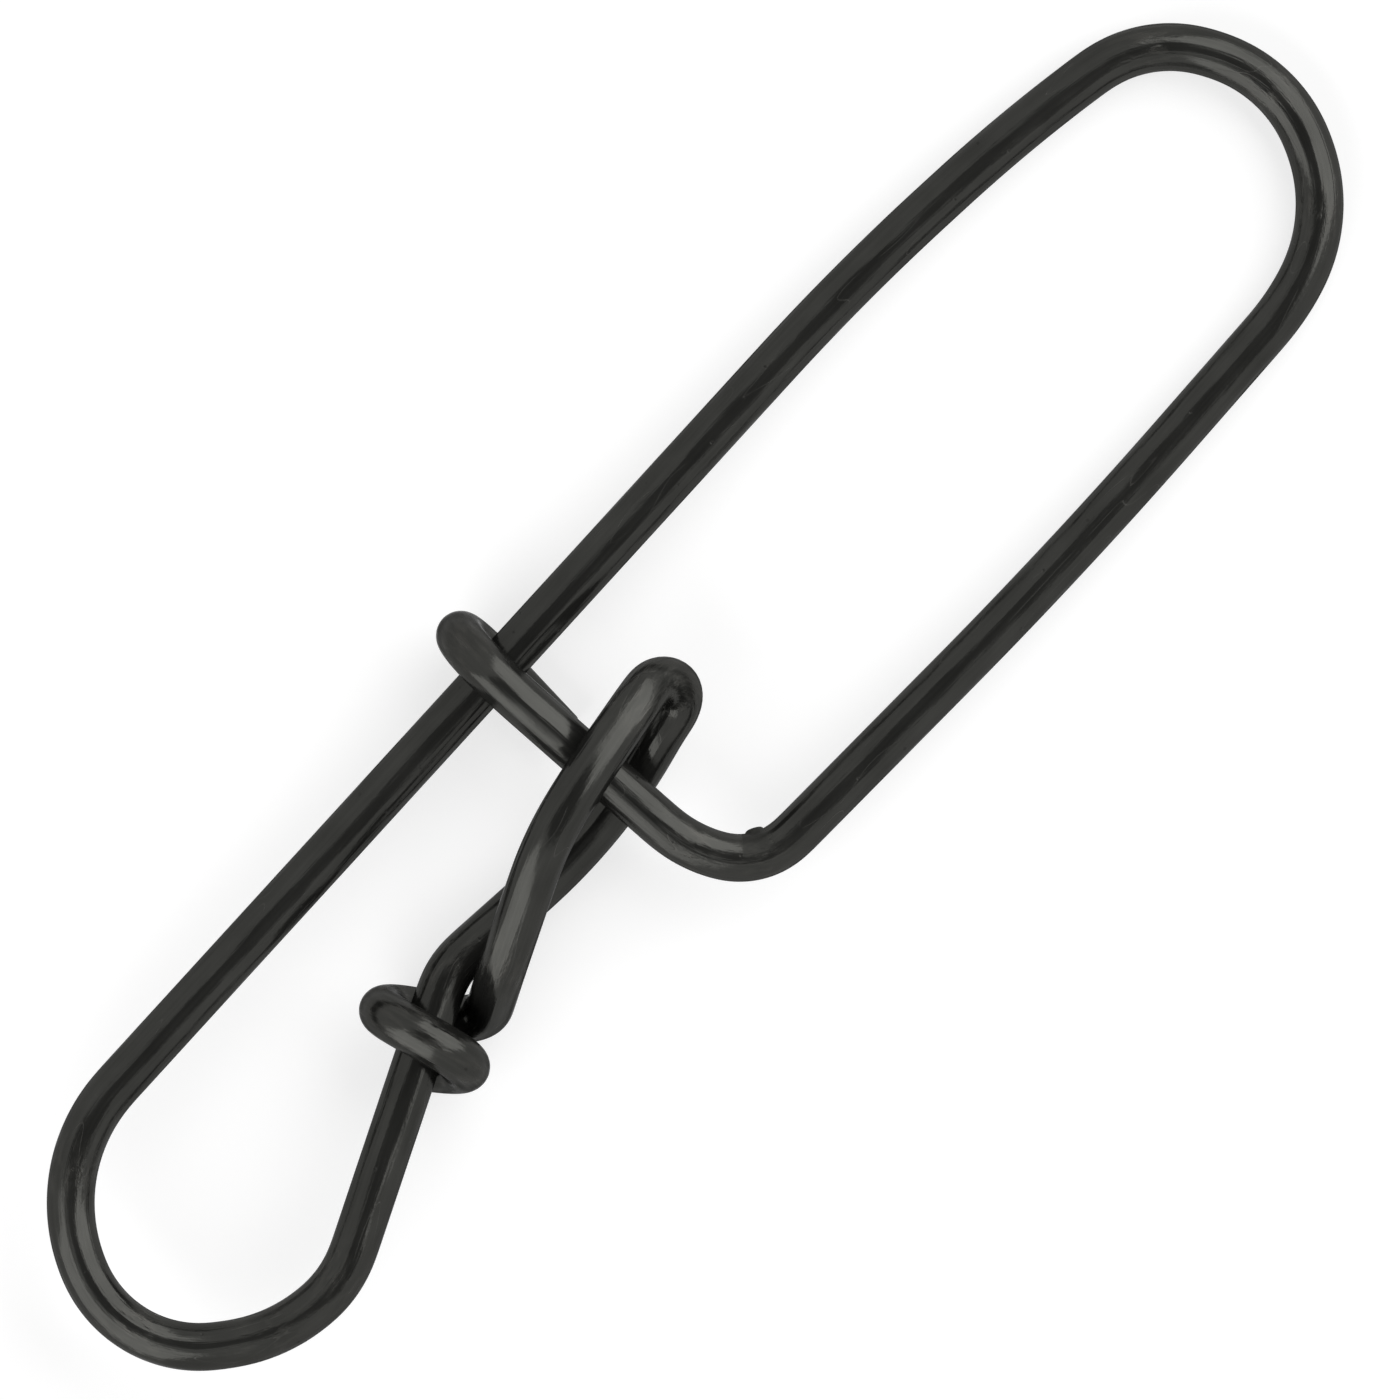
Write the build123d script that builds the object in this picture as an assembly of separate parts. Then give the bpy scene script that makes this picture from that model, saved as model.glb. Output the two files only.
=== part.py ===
"""Fishing snap bent from one piece of round spring wire.

The wire starts at the hook, crosses the spine, turns at the heel, runs round the big loop, comes back
along the straight spine, turns round the small loop, and its other end makes an eye round the crossbar
and winds on its own shank. All sizes are in millimetres. The snap is laid out flat, with X along the
spine, Y across it and the hook's crossing at the origin, and is then set down as it rests on a table.
"""
from build123d import *
from math import atan2, cos, pi, radians, sin, tan
import os

# Wire
wire_diameter = 1.2
contact_gap = 0.03  # left between strands that touch, so that the wire never runs into itself
end_chamfer = 0.12  # tumbling breaks the edges of the cut ends
strand_spacing = wire_diameter + contact_gap  # centre to centre, where two strands touch

# Hook: over the spine, round it and back underneath
hook_play = 0.069  # between the hook's bend and the spine
hook_tip_length = 2.3  # from the spine back to the cut end
hook_tip_x = 0.15
hook_rear_x = 0.42  # the bend leans a little towards the big loop
hook_rear_radius = 1.09
hook_rear_sink = 0.07  # below the height at which the wire would touch the spine
hook_front_x = 0.10
hook_front_rise = 0.42  # above the height at which the wire would touch the spine
hook_front_radius = 1.80

# Crossbar and heel
crossbar_arch_x = 0.12
crossbar_arch_y = 0.92
crossbar_arch_rise = 0.30
crossbar_arch_radius = 3.1
crossbar_foot_x = 0.22
crossbar_foot_y = 6.45
crossbar_foot_rise = 0.13
crossbar_foot_radius = 3.3
heel_x = 1.10
heel_y = 8.19
heel_radius = 1.86

# Pinch mark that the bending tool left on the heel's inside
pinch_radius = 0.27
pinch_height = 0.10  # how far it stands out of the wire

# Big loop: each corner is where the two runs beside a bend would meet
big_loop_reach = 24.02  # from the hook's crossing to the wire's centre at the far end
big_loop_width = 8.55  # between the wire's centres in the two long sides
long_side_middle_x = 12.0
long_side_bulge = 0.05
toe_setback = 3.86
toe_rise = 0.14
toe_radius = 6.5
corner_setback = 1.29
corner_rise = 0.75
corner_radius = 4.1
nose_overhang = 0.43
nose_drop = 4.45
nose_radius = 3.6
shoulder_setback = 1.10
shoulder_drop = 1.18
shoulder_radius = 3.2
bow_setback = 5.12
bow_drop = 0.43
bow_start_setback = 10.6
bow_start_rise = 0.05

# Small loop
small_loop_reach = 18.02  # from the hook's crossing to the wire's centre at the far end
small_loop_width = 7.38  # from the spine to the lowest bend
crown_setback = 1.62
crown_radius = 4.3
cheek_overhang = 0.83
cheek_drop = 4.60
cheek_radius = 3.1
chin_setback = 2.25
chin_rise = 0.22
chin_radius = 4.2
neck_setback = 4.38
neck_overhang = 0.12
neck_radius = 3.0

# Shank and eye: the eye's lower leg goes under the crossbar and its upper leg over it
shank_end_x = 6.06
shank_end_y = 4.12
shank_sink = 0.40  # the shank slopes down to reach under the crossbar
shank_end_radius = 2.0
eye_play = 0.03  # between each leg and the crossbar
lower_leg_bow_x = 0.80
lower_leg_bow_y = 4.66
lower_leg_bow_sink = 0.48  # the lower leg climbs from its bow to the eye's end
lower_leg_bow_radius = 8.0
lower_leg_turn_x = 2.06
lower_leg_turn_y = 4.02
lower_leg_turn_rise = 0.58
lower_leg_turn_radius = 2.2
eye_low_x = 3.43
eye_low_y = 3.86
eye_low_rise = 0.77
eye_low_radius = 0.91
eye_high_x = 2.76
eye_high_y = 3.03
eye_high_drop = 1.24  # the upper leg falls from its arch to the eye's end
eye_high_radius = 1.18
upper_leg_turn_x = 1.84
upper_leg_turn_y = 3.14
upper_leg_turn_drop = 0.39
upper_leg_turn_radius = 2.0
upper_leg_middle_x = -0.12
upper_leg_middle_y = 3.41
upper_leg_middle_rise = 0.16
upper_leg_middle_radius = 6.7
upper_leg_arch_x = 1.96
upper_leg_arch_y = 3.75
upper_leg_arch_rise = 0.24
upper_leg_arch_radius = 5.0
leg_dip_x = 5.10
leg_dip_y = 5.11
leg_dip_height = 1.20  # of the upper leg where it steepens, to go down beside the shank
leg_dip_radius = 3.5

# Wrap: the wire's other end, wound on the shank
wrap_turns = 1.25
wrap_pitch = 1.40
wrap_setback = 0.79  # from the shank's end to the start of the first turn
wrap_entry_setback = 0.26  # from the start of the first turn
wrap_entry_play = 0.07  # the wire goes down loosely beside the shank before it turns in under it
wrap_entry_radius = 1.07
wrap_corners_per_turn = 8
wrap_end_straight = 0.2  # the last bit before the cut isn't bent

shortest_run = 0.001  # bends nearer to each other than this meet


def crossbar_slope():
    """The crossbar climbs from its foot near the heel to its arch near the spine."""
    climb = strand_spacing + crossbar_arch_rise - crossbar_foot_rise
    return atan2(climb, crossbar_foot_y - crossbar_arch_y)


def crossbar_height(y):
    """Height of the crossbar's centre between its foot and its arch."""
    return crossbar_foot_rise + (crossbar_foot_y + y) * tan(crossbar_slope())


def hook():
    """From the cut end under the spine, round it, to the crossbar on top."""
    bend_y = strand_spacing + hook_play
    return [
        (Vector(hook_tip_x, -hook_tip_length, -strand_spacing), None),
        (Vector(hook_rear_x, bend_y, -strand_spacing - hook_rear_sink), hook_rear_radius),
        (Vector(hook_front_x, bend_y, strand_spacing + hook_front_rise), hook_front_radius),
    ]


def heel():
    """From the crossbar's arch over the spine down into the big loop's long side."""
    return [
        (Vector(crossbar_arch_x, -crossbar_arch_y, strand_spacing + crossbar_arch_rise), crossbar_arch_radius),
        (Vector(crossbar_foot_x, -crossbar_foot_y, crossbar_foot_rise), crossbar_foot_radius),
        (Vector(heel_x, -heel_y, 0), heel_radius),
    ]


def big_loop():
    """Along the long side, round the far end and over the bowed shoulder to the spine."""
    return [
        (Vector(long_side_middle_x, -big_loop_width - long_side_bulge, 0), None),
        (Vector(big_loop_reach - toe_setback, -big_loop_width + toe_rise, 0), toe_radius),
        (Vector(big_loop_reach - corner_setback, -big_loop_width + corner_rise, 0), corner_radius),
        (Vector(big_loop_reach + nose_overhang, -nose_drop, 0), nose_radius),
        (Vector(big_loop_reach - shoulder_setback, -shoulder_drop, 0), shoulder_radius),
        (Vector(big_loop_reach - bow_setback, -bow_drop, 0), None),
        (Vector(big_loop_reach - bow_start_setback, bow_start_rise, 0), None),
    ]


def small_loop():
    """From the spine round the small loop to the foot of the shank."""
    return [
        (Vector(-small_loop_reach + crown_setback, 0, 0), crown_radius),
        (Vector(-small_loop_reach - cheek_overhang, -cheek_drop, 0), cheek_radius),
        (Vector(-small_loop_reach + chin_setback, -small_loop_width + chin_rise, 0), chin_radius),
        (Vector(-small_loop_reach + neck_setback, -small_loop_width - neck_overhang, 0), neck_radius),
    ]


def eye():
    """From the shank under the crossbar, round the eye's end and back over the crossbar."""
    vertical_spacing = (strand_spacing + eye_play) / cos(crossbar_slope())
    under = crossbar_height(-lower_leg_bow_y) - vertical_spacing
    over = crossbar_height(-upper_leg_middle_y) + vertical_spacing
    return [
        (Vector(-shank_end_x, -shank_end_y, -shank_sink), shank_end_radius),
        (Vector(-lower_leg_bow_x, -lower_leg_bow_y, under - lower_leg_bow_sink), lower_leg_bow_radius),
        (Vector(lower_leg_turn_x, -lower_leg_turn_y, under + lower_leg_turn_rise), lower_leg_turn_radius),
        (Vector(eye_low_x, -eye_low_y, under + eye_low_rise), eye_low_radius),
        (Vector(eye_high_x, -eye_high_y, over - eye_high_drop), eye_high_radius),
        (Vector(upper_leg_turn_x, -upper_leg_turn_y, over - upper_leg_turn_drop), upper_leg_turn_radius),
        (Vector(upper_leg_middle_x, -upper_leg_middle_y, over + upper_leg_middle_rise), upper_leg_middle_radius),
        (Vector(-upper_leg_arch_x, -upper_leg_arch_y, over + upper_leg_arch_rise), upper_leg_arch_radius),
        (Vector(-leg_dip_x, -leg_dip_y, leg_dip_height), leg_dip_radius),
    ]


def shank_frame():
    """The start of the wrap: X back along the shank, Y to the side on which it goes down, Z out of the face."""
    foot, head = small_loop()[-1][0], eye()[0][0]
    back = (foot - head).normalized()
    side = Vector(0, 0, 1).cross(back).normalized()
    return Plane(origin=head + back * wrap_setback, x_dir=back, z_dir=back.cross(side))


def wrap_point(angle, distance):
    """A point of the winding at an angle from the side of the shank on which it goes down."""
    along = wrap_pitch * angle / (2 * pi)
    return shank_frame().from_local_coords(Vector(along, distance * cos(angle), -distance * sin(angle)))


def wrap():
    """The winding on the shank: the leg goes down beside it and in under it, and then follows a many-sided helix.

    The corners of the helix are fully rounded. The entry corner stands for those of its first quarter turn.
    """
    half_step = pi / wrap_corners_per_turn
    corner_distance = strand_spacing / cos(half_step)
    first, steps = wrap_corners_per_turn // 4, round(wrap_turns * wrap_corners_per_turn)
    entry = shank_frame().from_local_coords(
        Vector(wrap_entry_setback, strand_spacing + wrap_entry_play, -strand_spacing))
    turns = [(wrap_point(half_step * (2 * step + 1), corner_distance), None) for step in range(first, steps)]
    end = wrap_point(half_step * 2 * steps, strand_spacing)
    cut_end = end + (end - turns[-1][0]).normalized() * wrap_end_straight
    return [(entry, wrap_entry_radius)] + turns + [(cut_end, None)]


def centre_line(route):
    """Straight runs joined by tangent arcs.

    A bend without a radius is as round as its two runs allow, and no bend takes more than its run has.
    """
    corners = [corner for corner, radius in route]
    runs = [after - before for before, after in zip(corners, corners[1:])]
    half_turns = [radians(before.get_angle(after)) / 2 for before, after in zip(runs, runs[1:])]

    # two bends share each run, but the first and last run serve one bend alone
    shares = [runs[0].length] + [run.length / 2 for run in runs[1:-1]] + [runs[-1].length]

    # a bend starts and ends at its setback from the corner
    setbacks = [0.0]
    for (corner, radius), half_turn, before, after in zip(route[1:], half_turns, shares, shares[1:]):
        setbacks.append(radius * tan(half_turn) if radius else min(before, after))
    setbacks.append(0.0)
    room = [min(1, run.length / (start + end)) for run, start, end in zip(runs, setbacks, setbacks[1:])]

    edges, here = [], corners[0]
    for index, half_turn in enumerate(half_turns):
        corner, setback = corners[index + 1], setbacks[index + 1] * min(room[index], room[index + 1])
        arriving, leaving = runs[index].normalized(), runs[index + 1].normalized()
        start, end = corner - arriving * setback, corner + leaving * setback
        inset = setback * (1 / sin(half_turn) - 1 / tan(half_turn))
        if (start - here).length > shortest_run:
            edges.append(Edge.make_line(here, start))
        edges.append(Edge.make_three_point_arc(start, corner + (leaving - arriving).normalized() * inset, end))
        here = end
    if (corners[-1] - here).length > shortest_run:
        edges.append(Edge.make_line(here, corners[-1]))
    return Wire(edges)


def bent_wire():
    """The round wire itself, with the edges of its two cut ends broken."""
    line = centre_line(hook() + heel() + big_loop() + small_loop() + eye() + wrap())
    section = Plane(origin=line @ 0, z_dir=line % 0) * Circle(wire_diameter / 2)
    wire = sweep(section, path=line)
    ends = [wire.faces().sort_by_distance(point)[0] for point in (line @ 0, line @ 1)]
    return chamfer([edge for end in ends for edge in end.edges()], end_chamfer)


def pinch_mark():
    """The small mound on the inside of the heel, in the middle of its bend."""
    before, (corner, radius), after = heel()[-2][0], heel()[-1], big_loop()[0][0]
    arriving, leaving = (corner - before).normalized(), (after - corner).normalized()
    half_turn = radians(arriving.get_angle(leaving)) / 2
    inward = (leaving - arriving).normalized()
    inside = corner + inward * (radius / cos(half_turn) - radius + wire_diameter / 2)
    return Pos(*(inside + inward * (pinch_height - pinch_radius))) * Sphere(pinch_radius)


def table_top():
    """The plane on which the snap lies: under the wrap, the big loop's far end and the hook's tip."""
    under_wrap = wrap_point(pi / 2, strand_spacing)
    corner, nose = big_loop()[2][0], big_loop()[3][0]
    under_far_end = (corner + nose) / 2
    under_tip = hook()[0][0]
    up = (under_far_end - under_wrap).cross(under_tip - under_wrap).normalized()
    return Plane(origin=under_wrap, x_dir=Vector(0, 1, 0).cross(up), z_dir=up)


def set_down(shape):
    """The shape as it lies on the table, with the origin under the middle of its box."""
    lying = table_top().to_local_coords(shape)
    box = lying.bounding_box()
    return Pos(-box.center().X, -box.center().Y, -box.min.Z) * lying


snap_wire = set_down(bent_wire() + pinch_mark())
os.makedirs("parts", exist_ok=True)
export_step(snap_wire, "parts/snap_wire.step")
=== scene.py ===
from math import cos, pi, radians, sin, tan

import bpy
from mathutils import Matrix, Vector


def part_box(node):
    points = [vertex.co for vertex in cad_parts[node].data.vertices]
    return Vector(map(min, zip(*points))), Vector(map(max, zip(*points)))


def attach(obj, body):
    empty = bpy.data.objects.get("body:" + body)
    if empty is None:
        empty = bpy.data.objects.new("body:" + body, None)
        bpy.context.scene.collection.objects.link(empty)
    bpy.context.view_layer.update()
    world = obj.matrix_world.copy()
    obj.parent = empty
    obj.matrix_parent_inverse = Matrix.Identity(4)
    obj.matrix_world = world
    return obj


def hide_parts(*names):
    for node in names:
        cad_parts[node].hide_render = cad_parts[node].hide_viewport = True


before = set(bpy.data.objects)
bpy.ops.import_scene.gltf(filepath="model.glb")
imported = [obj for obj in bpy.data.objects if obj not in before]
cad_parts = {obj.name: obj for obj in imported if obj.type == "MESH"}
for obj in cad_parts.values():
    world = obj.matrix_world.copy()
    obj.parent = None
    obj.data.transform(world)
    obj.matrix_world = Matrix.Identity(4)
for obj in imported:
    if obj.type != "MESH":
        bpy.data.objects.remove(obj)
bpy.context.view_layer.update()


# The wire: one length of round spring steel, drawn through a die, cut off and bent by hand tools into the snap.
# Sizes are in metres. The bends are laid out flat as on the bending bench: X runs along the straight spine,
# Y across it, Z up out of the face, and the hook crosses the spine at the origin.
wire_diameter = 0.0012
wire_radius = wire_diameter / 2
touch_gap = 0.00003
strand_spacing = wire_diameter + touch_gap  # between the centres of strands that touch

# each corner where two straight runs would meet, and the radius that the wire is bent to there
hook = [
    (0.000150, -0.002300, -0.001230, None),
    (0.000420, 0.001299, -0.001300, 0.001070),
    (0.000100, 0.001299, 0.001650, 0.001768),
]
heel = [
    (0.000120, -0.000920, 0.001530, 0.0031),
    (0.000220, -0.006450, 0.000130, 0.0033),
    (0.001100, -0.008190, 0.000000, 0.00186),
]
big_loop = [
    (0.012000, -0.008600, 0.000000, None),
    (0.020160, -0.008410, 0.000000, 0.0065),
    (0.022730, -0.007800, 0.000000, 0.0041),
    (0.024450, -0.004450, 0.000000, 0.0036),
    (0.022920, -0.001180, 0.000000, 0.0032),
    (0.018900, -0.000430, 0.000000, None),
    (0.013420, 0.000050, 0.000000, None),
]
small_loop = [
    (-0.016400, 0.000000, 0.000000, 0.0043),
    (-0.018850, -0.004600, 0.000000, 0.0031),
    (-0.015770, -0.007160, 0.000000, 0.0042),
    (-0.013640, -0.007500, 0.000000, 0.0030),
]
eye = [
    (-0.006060, -0.004120, -0.000400, 0.0020),
    (-0.000800, -0.004660, -0.001197, 0.0080),
    (0.002060, -0.004020, -0.000137, 0.002018),
    (0.003430, -0.003860, 0.000053, 0.000740),
    (0.002760, -0.003030, 0.000959, 0.000960),
    (0.001840, -0.003140, 0.001809, 0.0020),
    (-0.000120, -0.003410, 0.002359, 0.006519),
    (-0.001960, -0.003750, 0.002439, 0.004865),
    (-0.005100, -0.005110, 0.001200, 0.0035),
]

# The other end goes down beside the shank and in under it, and is wound on it with eight corners to a turn.
# The entry stands for the first two of them, and each bend after it is as round as its two runs allow.
wrap_turns = 1.25
corners_per_turn = 8
first_wrap_corner = 2
wrap_pitch = 0.0014
wrap_setback = 0.00079
wrap_entry_setback = 0.00026
wrap_entry_play = 0.00007
wrap_entry_radius = 0.00107
wrap_end_straight = 0.0002

shank_foot, shank_head = Vector(small_loop[-1][:3]), Vector(eye[0][:3])
shank_back = (shank_foot - shank_head).normalized()
shank_side = Vector((0, 0, 1)).cross(shank_back).normalized()
shank_out = shank_back.cross(shank_side)


def wrap_point(angle, distance):
    """A point of the winding, at an angle from where it turns down behind the shank."""
    along = wrap_setback + wrap_pitch * angle / (2 * pi)
    return (shank_head + shank_back * along + shank_side * distance * cos(angle)
            - shank_out * distance * sin(angle))


half_step = pi / corners_per_turn
wrap_entry = (shank_head + shank_back * (wrap_setback + wrap_entry_setback)
              + shank_side * (strand_spacing + wrap_entry_play) - shank_out * strand_spacing)
wrap_corners = [wrap_point(half_step * (2 * k + 1), strand_spacing / cos(half_step))
                for k in range(first_wrap_corner, round(wrap_turns * corners_per_turn))]
wrap_end = wrap_point(2 * pi * wrap_turns, strand_spacing)
wrap_end += (wrap_end - wrap_corners[-1]).normalized() * wrap_end_straight
wrap = [(*wrap_entry, wrap_entry_radius)] + [(*corner, None) for corner in wrap_corners] + [(*wrap_end, None)]

# a bend begins and ends at its setback from the corner
route = hook + heel + big_loop + small_loop + eye + wrap
corners = [Vector(place[:3]) for place in route]
runs = [after - before for before, after in zip(corners, corners[1:])]
shares = [runs[0].length] + [run.length / 2 for run in runs[1:-1]] + [runs[-1].length]
half_turns = [before.angle(after) / 2 for before, after in zip(runs, runs[1:])]
setbacks = [place[3] * tan(half_turn) if place[3] else min(before, after)
            for place, half_turn, before, after in zip(route[1:], half_turns, shares, shares[1:])]

# the centre line in short steps: straight on to each bend, then round it
short_step = 0.00005
trail = [corners[0]]
bend_marks = []  # the step in the middle of each bend


def run_straight_to(place):
    """Carries the centre line straight on to a place, where it is not there already."""
    start, steps = trail[-1], round((place - trail[-1]).length / short_step)
    trail.extend(start.lerp(place, k / steps) for k in range(1, steps + 1))


for corner, before, after, half_turn, setback in zip(corners[1:], runs, runs[1:], half_turns, setbacks):
    arriving, leaving = before.normalized(), after.normalized()
    radius = setback / tan(half_turn)
    inward = (leaving - arriving * cos(2 * half_turn)) / sin(2 * half_turn)
    start = corner - arriving * setback
    run_straight_to(start)
    half_steps = max(1, round(radius * half_turn / short_step))
    bend_marks.append(len(trail) + half_steps - 1)
    for k in range(1, 2 * half_steps + 1):
        angle = half_turn * k / half_steps
        trail.append(start + arriving * radius * sin(angle) + inward * radius * (1 - cos(angle)))
run_straight_to(corners[-1])

# springy wire does not change at once from straight to round: each bend runs out softly into the next run
softening_passes = 40
for softening in range(softening_passes):
    trail[1:-1] = [(before + place * 2 + after) / 4 for before, place, after in zip(trail, trail[1:], trail[2:])]
along_trail = [0]
for before, after in zip(trail, trail[1:]):
    along_trail.append(along_trail[-1] + (after - before).length)
wire_length = along_trail[-1]
bend_middles = [along_trail[mark] for mark in bend_marks]

bpy.ops.object.select_all(action="DESELECT")
bpy.ops.curve.primitive_nurbs_path_add()
bending_line = bpy.context.object
bending_line.name = "bending_line"
bending_line.data.twist_mode = "MINIMUM"
line = bending_line.data.splines[0]
line.type = "POLY"
line.points.add(len(trail) - len(line.points))
for point, place in zip(line.points, trail):
    point.co = (*place, 1)

# the straight wire, lying along X
wire_sides = 64
bpy.ops.mesh.primitive_cylinder_add(
    vertices=wire_sides, radius=wire_radius, depth=wire_length, location=(wire_length / 2, 0, 0),
    rotation=(0, pi / 2, 0))
wire = bpy.context.object
wire.name = "bent_wire"
bpy.ops.object.transform_apply(location=True, rotation=True, scale=True)
bpy.ops.object.mode_set(mode="EDIT")


def select_edges(chosen):
    """Selects the wire's edges that are chosen by how far along it their two ends lie, and no others."""
    bpy.ops.mesh.select_mode(type="EDGE")
    bpy.ops.mesh.select_all(action="DESELECT")
    bpy.ops.object.mode_set(mode="OBJECT")
    for edge in wire.data.edges:
        first, second = (wire.data.vertices[i].co.x for i in edge.vertices)
        edge.select = chosen(first, second)
    bpy.ops.object.mode_set(mode="EDIT")


# both cut ends are tumbled round
end_rounding = 0.00011
same_place = 0.000001
select_edges(lambda first, second: abs(first - second) < same_place)
bpy.ops.mesh.bevel(offset=end_rounding, segments=4, profile=0.5)

# rings all along it, so that it bends smoothly
ring_cuts, finer_ring_cuts = 13, 92
for cuts in (ring_cuts, finer_ring_cuts):
    select_edges(lambda first, second: abs(first - second) > 2 * end_rounding)
    bpy.ops.mesh.subdivide(number_cuts=cuts)

# and more of them at the heel, where the bending tool marks the wire
heel_bend = len(hook) + len(heel) - 2
heel_middle = bend_middles[heel_bend]
heel_reach = 0.001
heel_cuts = 3
least_ring_gap = 0.00001
select_edges(lambda first, second: (abs(first - second) > least_ring_gap
                                    and abs((first + second) / 2 - heel_middle) < heel_reach))
bpy.ops.mesh.subdivide(number_cuts=heel_cuts)
bpy.ops.object.mode_set(mode="OBJECT")

# Where each point was on the straight wire goes with it, so that draw lines run along the bent wire too. So do
# how near it is to a tight bend, which the tools rub, and whether it is on a cut end.
in_millimetres = 1000
tight_radius, tight_half_turn = 0.0045, radians(8)
rub_reach = 0.0012
cut_depth = end_rounding * 0.4
tight_bends = [middle for middle, setback, half_turn in zip(bend_middles, setbacks, half_turns)
               if setback / tan(half_turn) < tight_radius and half_turn > tight_half_turn]
wire.data.attributes.new("on_straight_wire", "FLOAT_VECTOR", "POINT")
wire.data.attributes.new("tool_rub", "FLOAT", "POINT")
wire.data.attributes.new("cut_end", "FLOAT", "POINT")
straight, tool_rub, cut_end = (
    wire.data.attributes[name].data for name in ("on_straight_wire", "tool_rub", "cut_end"))
for vertex, place, rub, cut in zip(wire.data.vertices, straight, tool_rub, cut_end):
    place.vector = vertex.co * in_millimetres
    rub.value = max(0, 1 - min(abs(vertex.co.x - middle) for middle in tight_bends) / rub_reach)
    cut.value = 1 if min(vertex.co.x, wire_length - vertex.co.x) < cut_depth else 0

bend = wire.modifiers.new("bend", "CURVE")
bend.object = bending_line
bend.deform_axis = "POS_X"
bpy.ops.object.modifier_apply(modifier="bend")
bpy.data.objects.remove(bending_line)
bpy.ops.object.shade_smooth_by_angle(angle=radians(40))

# the bending tool has pinched up a small round mound inside the heel
mound = Vector((0.00157, -0.00756, 0))
mound_top_reach = 0.00013
mound_spread = 0.00023
mound_height = 0.00010
heel_corner = Vector(heel[-1][:3])
heel_inward = ((Vector(heel[-2][:3]) - heel_corner).normalized()
               + (Vector(big_loop[0][:3]) - heel_corner).normalized()).normalized()
bpy.ops.object.mode_set(mode="EDIT")
bpy.ops.mesh.select_mode(type="VERT")
bpy.ops.mesh.select_all(action="DESELECT")
bpy.ops.object.mode_set(mode="OBJECT")
for vertex in wire.data.vertices:
    vertex.select = (vertex.co - mound).length < mound_top_reach
bpy.ops.object.mode_set(mode="EDIT")
bpy.ops.transform.translate(
    value=heel_inward * mound_height, use_proportional_edit=True, proportional_edit_falloff="SPHERE",
    proportional_size=mound_spread)
bpy.ops.object.mode_set(mode="OBJECT")

# and has left the inner side of the bend matt, from a crease beside the mound onwards
crease = heel_middle - 0.00045
crease_width = 0.00004
matt_length, matt_fade = 0.0011, 0.0005
side_fade = 0.00008
heel_radius = heel[-1][3]
heel_centre = heel_corner + heel_inward * heel_radius / cos(half_turns[heel_bend])
wire.data.attributes.new("pinched", "FLOAT", "POINT")
straight, pinched = (wire.data.attributes[name].data for name in ("on_straight_wire", "pinched"))
for vertex, place, pinch in zip(wire.data.vertices, straight, pinched):
    past_crease = place.vector.x / in_millimetres - crease
    inside = heel_radius - (vertex.co - heel_centre).xy.length
    pinch.value = max(0, min(
        1, past_crease / crease_width, (matt_length - past_crease) / matt_fade, inside / side_fade))

# the snap lies on the table on three places: under the wrap, under the big loop's far end and under the hook's tip
under_wrap = wrap_point(pi / 2, strand_spacing)
under_far_end = (Vector(big_loop[2][:3]) + Vector(big_loop[3][:3])) / 2
table_up = (under_far_end - under_wrap).cross(corners[0] - under_wrap).normalized()
table_x = Vector((0, 1, 0)).cross(table_up).normalized()
set_down = Matrix((table_x, table_up.cross(table_x), table_up)).to_4x4()
wire.data.transform(set_down)
low = Vector(map(min, *[v.co for v in wire.data.vertices]))
high = Vector(map(max, *[v.co for v in wire.data.vertices]))
node_low, node_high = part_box("snap_wire")
shift = (node_low + node_high) / 2 - (low + high) / 2
shift.z = node_low.z - low.z
set_down = Matrix.Translation(shift) @ set_down
wire.data.transform(Matrix.Translation(shift))

# Its finish is black nickel, a thin dark metal plate, glossy and nearly neutral. The die's draw lines show
# through it, the bending tools have rubbed it at the tight bends, and the two cut ends are rougher.
nickel = bpy.data.materials.new("black_nickel")
nickel.use_nodes = True
nodes, links = nickel.node_tree.nodes, nickel.node_tree.links
surface = nodes["Principled BSDF"]
surface.inputs["Metallic"].default_value = 0.7
surface.inputs["Specular IOR Level"].default_value = 0


def on_points(name, output):
    """A value that the wire's points carry."""
    reader = nodes.new("ShaderNodeAttribute")
    reader.attribute_name = name
    return reader.outputs[output]


def noise(lengthwise, across, detail):
    """Soft noise on the straight wire, with grains of these sizes in millimetres."""
    stretch = nodes.new("ShaderNodeVectorMath")
    stretch.operation = "MULTIPLY"
    stretch.inputs[1].default_value = (1 / lengthwise, 1 / across, 1 / across)
    links.new(along_wire, stretch.inputs[0])
    grains = nodes.new("ShaderNodeTexNoise")
    grains.inputs["Scale"].default_value = 1
    grains.inputs["Detail"].default_value = detail
    links.new(stretch.outputs["Vector"], grains.inputs["Vector"])
    return grains.outputs["Fac"]


def ranged(value, low, high, new_low, new_high):
    """Maps a value's range to a new one, held at both ends."""
    remap = nodes.new("ShaderNodeMapRange")
    for place, number in enumerate((low, high, new_low, new_high), 1):
        remap.inputs[place].default_value = number
    links.new(value, remap.inputs[0])
    return remap.outputs[0]


def calculated(operation, first, second):
    """One step of arithmetic between two values, in the nodes that are being laid out."""
    step = nodes.new("ShaderNodeMath")
    step.operation = operation
    for place, value in zip(step.inputs, (first, second)):
        if isinstance(value, (int, float)):
            place.default_value = value
        else:
            links.new(value, place)
    return step.outputs[0]


def coloured(value, *stops):
    """Colours a value from one stop to the next, each a place and a colour."""
    ramp = nodes.new("ShaderNodeValToRGB")
    for stop, (place, colour) in zip(ramp.color_ramp.elements, stops):
        stop.position, stop.color = place, (*colour, 1)
    links.new(value, ramp.inputs["Fac"])
    return ramp.outputs["Color"]


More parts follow.
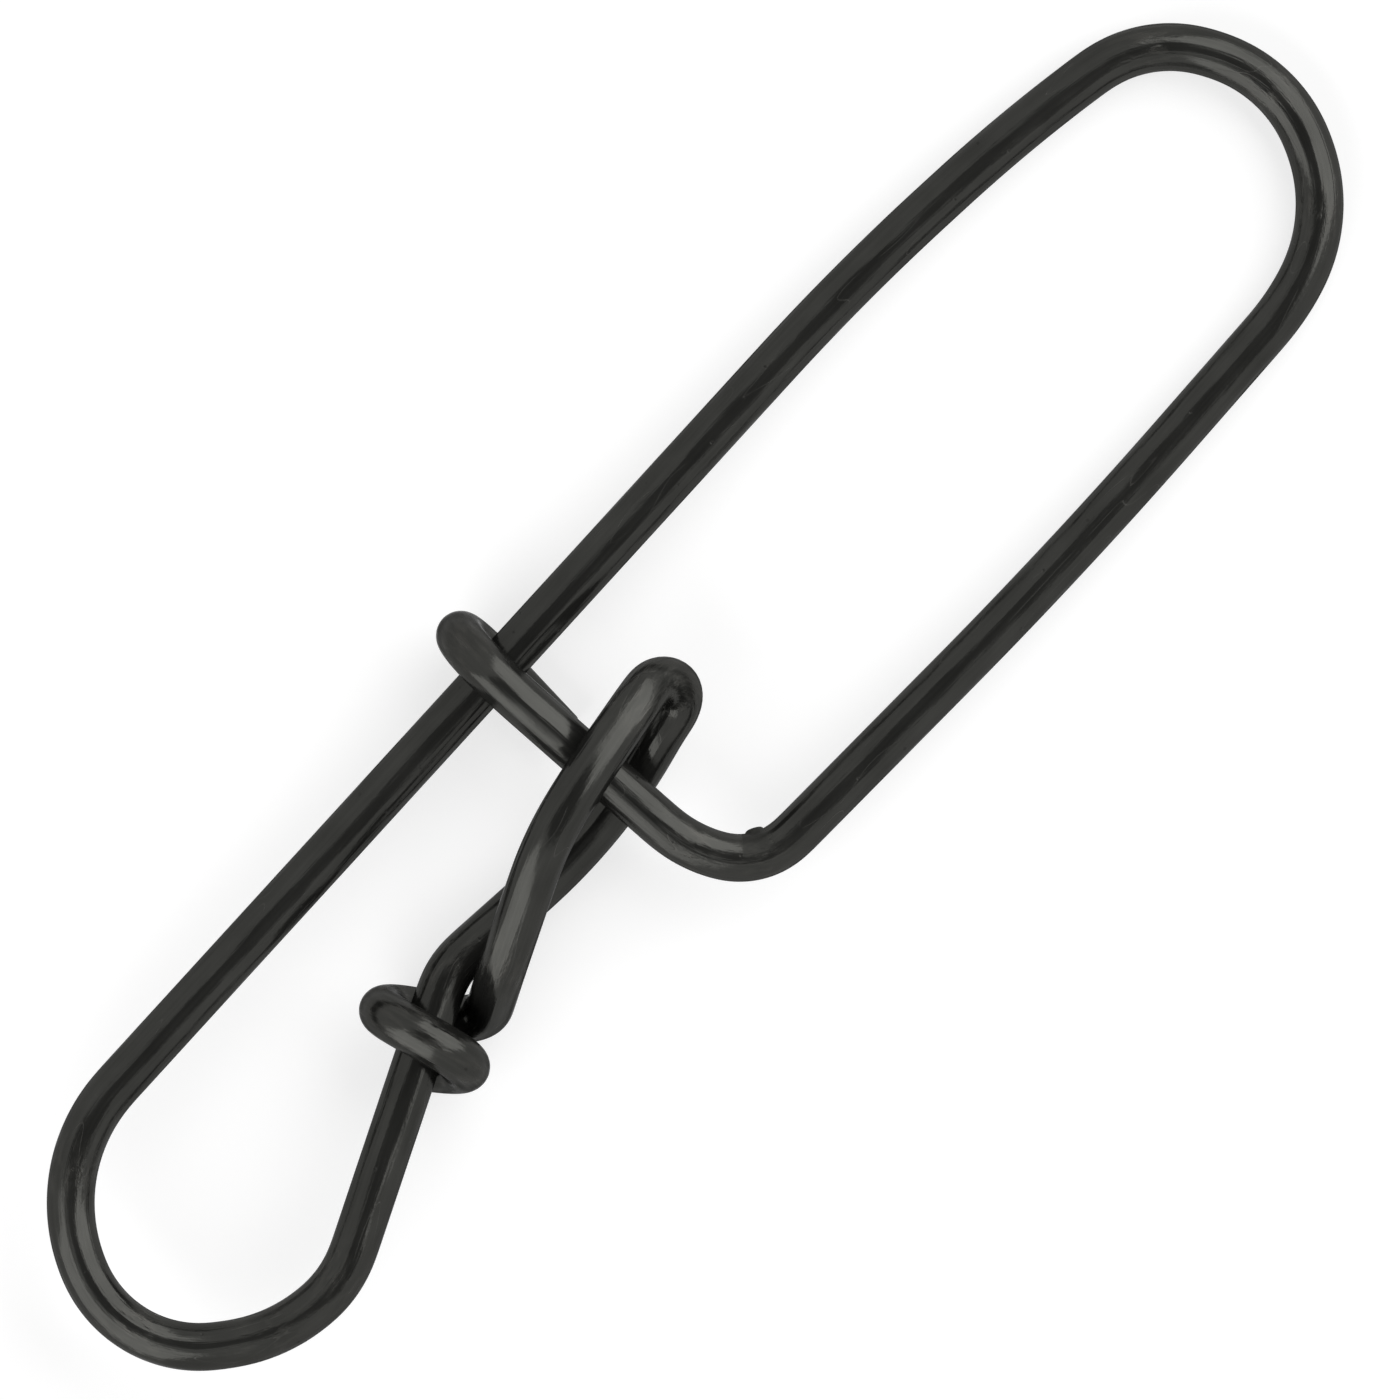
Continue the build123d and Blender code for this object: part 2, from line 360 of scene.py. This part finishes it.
# the plate mirrors no more at its edges than face on
facing = nodes.new("ShaderNodeLayerWeight")
links.new(coloured(facing.outputs["Facing"], (0.6, (0.64, 0.64, 0.64)), (0.94, (0.14, 0.14, 0.14))),
          surface.inputs["Specular Tint"])

along_wire = on_points("on_straight_wire", "Vector")
draw_lines = noise(3.6, 0.085, 3)
waviness = noise(2.2, 0.55, 1)
mottle = noise(1.4, 0.7, 3)
grain = noise(0.12, 0.065, 2)

# a few small pits in the plate
pit_cells = nodes.new("ShaderNodeTexVoronoi")
pit_cells.inputs["Scale"].default_value = 2.2
links.new(along_wire, pit_cells.inputs["Vector"])
pit_draw = nodes.new("ShaderNodeSeparateColor")
links.new(pit_cells.outputs["Color"], pit_draw.inputs["Color"])
pits = calculated("MULTIPLY", ranged(pit_cells.outputs["Distance"], 0.05, 0.11, 1, 0),
                  ranged(pit_draw.outputs[0], 0.62, 0.66, 0, 1))

# hairline scratches: where a stretched noise crosses one level, in a few places only
off_level = calculated("ABSOLUTE", calculated("SUBTRACT", noise(2.4, 0.5, 0), 0.5), 0)
scratches = calculated("MULTIPLY", ranged(off_level, 0.0016, 0.0045, 1, 0),
                       ranged(noise(1.7, 1.1, 0), 0.54, 0.6, 0, 1))

# the rubbed, cut and pinched places; the rubbed ones are broken up and scuffed along the draw lines
rubbed = calculated("MULTIPLY", on_points("tool_rub", "Fac"), ranged(noise(0.5, 0.16, 4), 0.46, 0.66, 0, 1))
scuffs = calculated("MULTIPLY", rubbed, noise(0.3, 0.05, 3))
cut_zone = on_points("cut_end", "Fac")
cut_steps = calculated("MULTIPLY", cut_zone, noise(0.3, 0.05, 4))
pinch_zone = on_points("pinched", "Fac")

# the plate's tone, darker and lighter, and each kind of wear by its share of its own tone, and the pinched patch
# inside the heel bend made darker
tone = coloured(calculated("ADD", calculated("MULTIPLY", mottle, 0.6), calculated("MULTIPLY", draw_lines, 0.4)),
                (0.3, (0.0362, 0.0363, 0.0336)), (0.7, (0.0525, 0.0526, 0.0489)))
for mask, share, colour in (
        (rubbed, 0.45, (0.075, 0.073, 0.067, 1)),
        (scratches, 0.35, (0.085, 0.083, 0.078, 1)),
        (pits, 0.6, (0.018, 0.018, 0.017, 1)),
        # the pinched patch inside the heel bend, past the crease, is made darker
        (pinch_zone, 0.5, (0.026, 0.026, 0.024, 1)),
        (cut_zone, 0.55, (0.085, 0.083, 0.079, 1))):
    blend = nodes.new("ShaderNodeMix")
    blend.data_type = "RGBA"
    blend.inputs[7].default_value = colour
    links.new(calculated("MULTIPLY", mask, share), blend.inputs[0])
    links.new(tone, blend.inputs[6])
    tone = blend.outputs[2]
links.new(tone, surface.inputs["Base Color"])

roughness = calculated("ADD", ranged(draw_lines, 0.3, 0.7, 0.11, 0.19), ranged(mottle, 0.3, 0.7, -0.015, 0.025))
for mask, share in ((rubbed, 0.14), (scratches, 0.1), (pits, 0.2), (cut_zone, 0.22), (pinch_zone, 0.26)):
    roughness = calculated("ADD", roughness, calculated("MULTIPLY", mask, share))
links.new(roughness, surface.inputs["Roughness"])

# heights in millimetres
height = calculated("MULTIPLY", draw_lines, 0.009)
for mask, rise in ((waviness, 0.06), (grain, 0.0026), (pits, -0.005), (scratches, -0.0015), (scuffs, 0.012),
                   (cut_steps, 0.02)):
    height = calculated("ADD", height, calculated("MULTIPLY", mask, rise))
bump = nodes.new("ShaderNodeBump")
bump.inputs["Distance"].default_value = 0.001
links.new(height, bump.inputs["Height"])
links.new(bump.outputs["Normal"], surface.inputs["Normal"])
wire.data.materials.clear()
wire.data.materials.append(nickel)
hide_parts("snap_wire")
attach(wire, "root")


# The camera looks straight down on the face of the snap through a long lens, with the small loop at the lower
# left. The angle is between the snap's spine and the picture's lower edge.
photo_turn = radians(47.5)
photo_middle = Vector((0.00314, -0.00423, 0))
photo_width = 0.03493
lens = 400
sensor_width = 36
face_x, face_y, face_z = (set_down.to_3x3() @ Vector(axis) for axis in ((1, 0, 0), (0, 1, 0), (0, 0, 1)))
photo_right = face_x * cos(photo_turn) - face_y * sin(photo_turn)
photo_up = face_x * sin(photo_turn) + face_y * cos(photo_turn)
middle = set_down @ photo_middle


def set_up(place, side, up, towards):
    """The matrix that stands a thing at a place, with its own X, Y and Z turned to these directions."""
    return Matrix.Translation(place) @ Matrix((side, up, towards)).transposed().to_4x4()


bpy.ops.object.camera_add()
camera = bpy.context.object
camera.data.sensor_width = sensor_width
camera.data.lens = lens
camera.matrix_world = set_up(
    middle + face_z * (photo_width * lens / sensor_width), photo_right, photo_up, face_z)
camera.data.clip_start, camera.data.clip_end = 0.01, 10
bpy.context.scene.camera = camera


# Two softboxes stand low on opposite sides, along the line of the snap: the wire's bends show them as its bright
# bands. Each has its direction round the camera's axis, its angle off that axis, its sizes and its brightness.
softbox_distance = 0.25
for name, round_axis, off_axis, width, height, brightness in (
        ("softbox_right", 38, 52, 0.35, 0.29, 2.3),
        ("softbox_left", 225, 60, 0.29, 0.255, 2.1)):
    outward = photo_right * cos(radians(round_axis)) + photo_up * sin(radians(round_axis))
    towards = outward * sin(radians(off_axis)) + face_z * cos(radians(off_axis))
    sideways = face_z.cross(towards).normalized()
    bpy.ops.object.light_add(type="AREA")
    softbox = bpy.context.object
    softbox.name = name
    softbox.data.shape = "RECTANGLE"
    softbox.data.size, softbox.data.size_y = width, height
    softbox.data.energy = brightness * pi * width * height
    softbox.visible_camera = False
    softbox.matrix_world = set_up(
        middle + towards * softbox_distance, sideways, towards.cross(sideways), towards)


# The dark camera above is mirrored too, with its stand's arm and a card beside it, as the dark line along the
# wire's top. Each dark shape has the way it points, its place beside the camera's axis, its half length and its
# half width.
dark_shapes_height = 0.2
dark_gray = bpy.data.materials.new("dark_camera_gray")
dark_gray.use_nodes = True
nodes, links = dark_gray.node_tree.nodes, dark_gray.node_tree.links
nodes.clear()
glow = nodes.new("ShaderNodeEmission")
glow.inputs["Color"].default_value = (0.17, 0.17, 0.17, 1)
out = nodes.new("ShaderNodeOutputMaterial")
links.new(glow.outputs["Emission"], out.inputs["Surface"])
for name, points_to, distance, half_length, half_width in (
        ("dark_camera", 0, 0, 0.072, 0.072),
        ("dark_stand_arm", 320, 0.081, 0.081, 0.050),
        ("dark_card", 172, 0.060, 0.060, 0.034)):
    bpy.ops.object.select_all(action="DESELECT")
    bpy.ops.mesh.primitive_circle_add(vertices=64, radius=1, fill_type="NGON")
    dark_shape = bpy.context.object
    dark_shape.name = name
    pointing = photo_right * cos(radians(points_to)) + photo_up * sin(radians(points_to))
    dark_shape.matrix_world = set_up(
        middle + face_z * dark_shapes_height + pointing * distance,
        pointing * half_length, face_z.cross(pointing) * half_width, face_z)
    bpy.ops.object.transform_apply(location=True, rotation=True, scale=True)
    dark_shape.visible_camera = dark_shape.visible_diffuse = dark_shape.visible_shadow = False
    dark_shape.data.materials.append(dark_gray)


# The floor is a white sheet of paper, much wider than the view. The camera sees it lit and with the snap's
# shadow, and the wire mirrors it as plain white.
sheet_size = 3
bpy.ops.object.select_all(action="DESELECT")
bpy.ops.mesh.primitive_plane_add(size=sheet_size)
floor = bpy.context.object
floor.name = "white_sheet"
paper = bpy.data.materials.new("white_paper")
paper.use_nodes = True
nodes, links = paper.node_tree.nodes, paper.node_tree.links
nodes.clear()


def either(choice, plain, chosen):
    """A surface that is plain where the choice is 0 and the chosen one where it is 1."""
    mix = nodes.new("ShaderNodeMixShader")
    links.new(choice, mix.inputs["Fac"])
    links.new(plain, mix.inputs[1])
    links.new(chosen, mix.inputs[2])
    return mix.outputs["Shader"]


lit = nodes.new("ShaderNodeBsdfDiffuse")
lit.inputs["Color"].default_value = (0.5, 0.5, 0.5, 1)
seen = nodes.new("ShaderNodeEmission")
mirrored = nodes.new("ShaderNodeEmission")
path = nodes.new("ShaderNodeLightPath")
links.new(calculated("MULTIPLY", path.outputs["Is Camera Ray"], 0.66), seen.inputs["Strength"])
both = nodes.new("ShaderNodeAddShader")
links.new(lit.outputs["BSDF"], both.inputs[0])
links.new(seen.outputs["Emission"], both.inputs[1])
gloss_or_glass = calculated("MAXIMUM", path.outputs["Is Glossy Ray"], path.outputs["Is Transmission Ray"])
out = nodes.new("ShaderNodeOutputMaterial")
links.new(either(gloss_or_glass, both.outputs["Shader"], mirrored.outputs["Emission"]), out.inputs["Surface"])
floor.data.materials.append(paper)


# The room is white all round, as far as the camera and the wire's gloss see it, and gives a dim fill light to
# everything else.
world = bpy.data.worlds.new("white_room")
bpy.context.scene.world = world
world.use_nodes = True
nodes, links = world.node_tree.nodes, world.node_tree.links
fill = nodes["Background"]
fill.inputs["Color"].default_value = (1, 1, 1, 1)
fill.inputs["Strength"].default_value = 0.1
white = nodes.new("ShaderNodeBackground")
white.inputs["Color"].default_value = (1, 1, 1, 1)
path = nodes.new("ShaderNodeLightPath")
camera_or_gloss = calculated("MAXIMUM", path.outputs["Is Camera Ray"], path.outputs["Is Glossy Ray"])
any_seen = calculated("MAXIMUM", camera_or_gloss, path.outputs["Is Transmission Ray"])
links.new(either(any_seen, fill.outputs["Background"], white.outputs["Background"]),
          nodes["World Output"].inputs["Surface"])
bpy.context.scene.view_settings.view_transform = "Standard"
